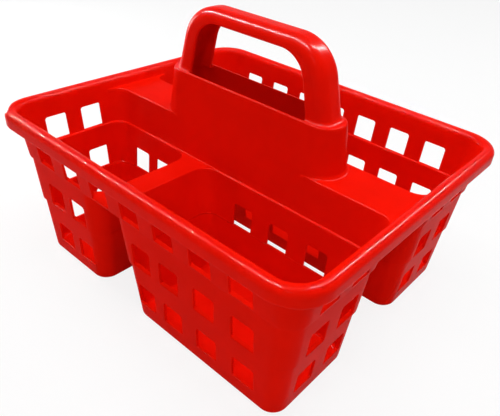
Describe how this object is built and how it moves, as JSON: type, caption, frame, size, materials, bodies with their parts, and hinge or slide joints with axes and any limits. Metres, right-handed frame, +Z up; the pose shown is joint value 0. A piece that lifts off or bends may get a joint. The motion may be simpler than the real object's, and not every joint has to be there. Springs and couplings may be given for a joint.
{
  "type": "carry caddy",
  "caption": "Open two-sided carry caddy for art supplies: perforated bins hang under trays either side of a raised ridge with an arched carrying handle.",
  "frame": {"origin": "on the ground, under the middle of the rim", "axes": "+X along the rim's length and the handle, to the right seen from the side with two bins; +Y towards the side with the one long bin; +Z up"},
  "size_m": [0.301, 0.2554, 0.206],
  "materials": {
    "red_plastic": "glossy injection-moulded red polypropylene, smooth as it leaves the mould"
  },
  "bodies": {
    "root": {"rim": "red_plastic", "front_tray_wall": "red_plastic", "rear_tray_wall": "red_plastic", "front_shelf": "red_plastic", "rear_shelf": "red_plastic", "small_front_bin_wall": "red_plastic", "small_front_bin_floor": "red_plastic", "large_front_bin_wall": "red_plastic", "large_front_bin_floor": "red_plastic", "rear_bin_left_wall": "red_plastic", "rear_bin_right_wall": "red_plastic", "rear_bin_floor": "red_plastic", "ridge_deck": "red_plastic", "handle_tower": "red_plastic", "left_handle_leg": "red_plastic", "right_handle_leg": "red_plastic", "handle_grip": "red_plastic"}
  },
  "joints": []
}
